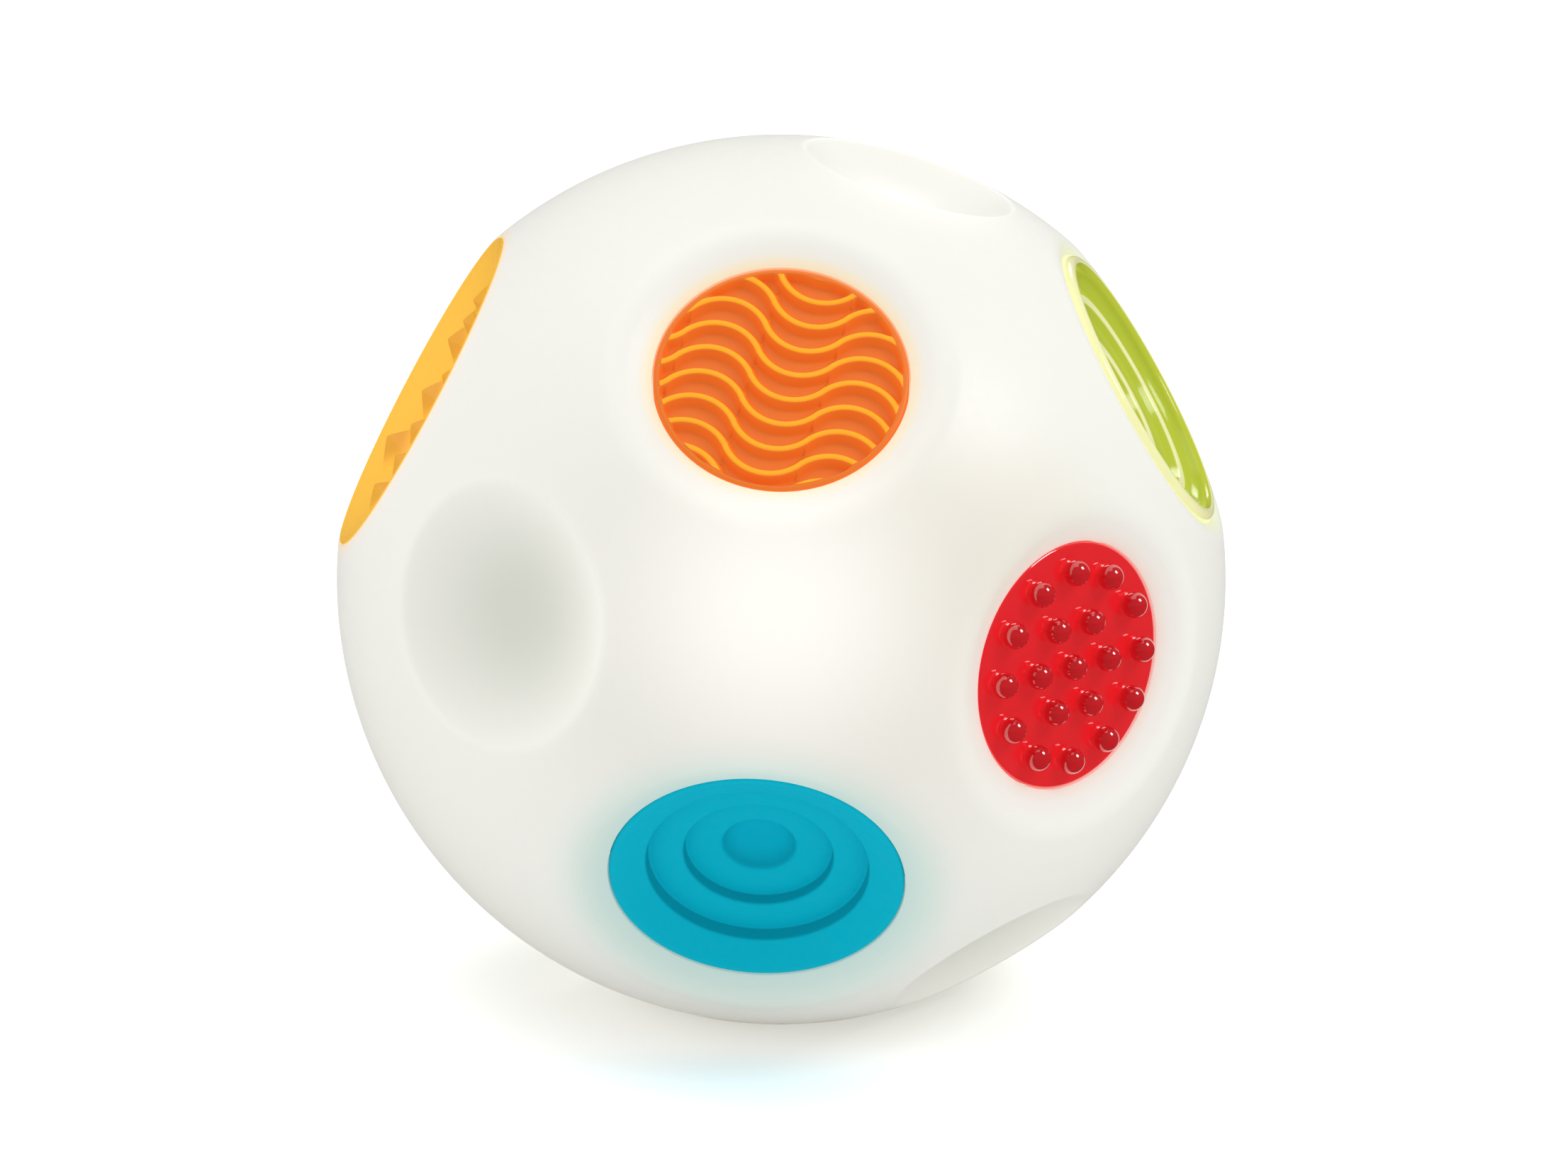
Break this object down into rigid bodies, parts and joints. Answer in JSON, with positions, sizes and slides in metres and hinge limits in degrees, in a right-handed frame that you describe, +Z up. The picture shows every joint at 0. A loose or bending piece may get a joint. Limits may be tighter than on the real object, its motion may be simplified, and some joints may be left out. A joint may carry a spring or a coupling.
{
  "type": "light-up sensory ball",
  "caption": "Milky round baby ball with colourful textured discs, bowls and plain grip dimples, a light inside and a screwed battery door in its flat base.",
  "frame": {"origin": "centre of the flat base that the ball stands on", "axes": "+Z up through the ball's centre; -Y is the front, where the orange, blue and red pieces show; +X to the right seen from the front"},
  "size_m": [0.12, 0.12, 0.1166],
  "materials": {
    "milky_shell": "glossy, milky and slightly see-through",
    "orange": "glossy",
    "red": "glossy, slightly see-through",
    "blue": "soft, matte",
    "green": "glossy",
    "yellow": "satin",
    "white_plastic": "fine satin",
    "seal_rubber": "matte",
    "screw_steel": "plated",
    "cell_jacket": "plain printed-free jacket",
    "contact_brass": "bright",
    "spring_steel": "bright",
    "board_green": "solder mask",
    "chip_black": "moulded",
    "led_lens": "clear lens",
    "frosted_dome": "frosted",
    "knob_grey": "moulded",
    "frame_grey": "satin",
    "cone_paper": "pressed pulp",
    "magnet_steel": "plated",
    "lead_jacket": "smooth"
  },
  "bodies": {
    "ball": {"ball_shell": "milky_shell", "orange_wave_disc": "orange", "red_bump_disc": "red", "blue_step_bowl": "blue", "green_ring_dish": "green", "yellow_pyramid_dish": "yellow", "battery_core": "white_plastic", "core_seal": "seal_rubber", "core_screws": "screw_steel", "battery_cells": "cell_jacket", "battery_contacts": "contact_brass", "circuit_board": "board_green", "board_screws": "screw_steel", "sound_chip": "chip_black", "leds": "led_lens", "light_dome": "frosted_dome", "motion_can": "spring_steel", "switch_body": "spring_steel", "speaker_grille": "white_plastic", "speaker_frame": "frame_grey", "speaker_cone": "cone_paper", "speaker_magnet": "magnet_steel", "speaker_clamp": "white_plastic", "speaker_lead": "lead_jacket"},
    "door": {"battery_door": "white_plastic", "door_seal": "seal_rubber", "door_screw": "screw_steel", "battery_springs": "spring_steel"},
    "knob": {"switch_knob": "knob_grey"},
    "sensor_ball": {"motion_ball": "contact_brass"}
  },
  "joints": [
    {"name": "door_lift", "type": "slide", "parent": "ball", "child": "door", "axis": [0, 0, -1], "range_m": [0, 0.03]},
    {"name": "switch_slide", "type": "slide", "parent": "ball", "child": "knob", "axis": [1, 0, 0], "range_m": [0, 0.004]},
    {"name": "sensor_roll", "type": "slide", "parent": "ball", "child": "sensor_ball", "axis": [1, 0, 0], "range_m": [-0.002, 0.002]}
  ]
}
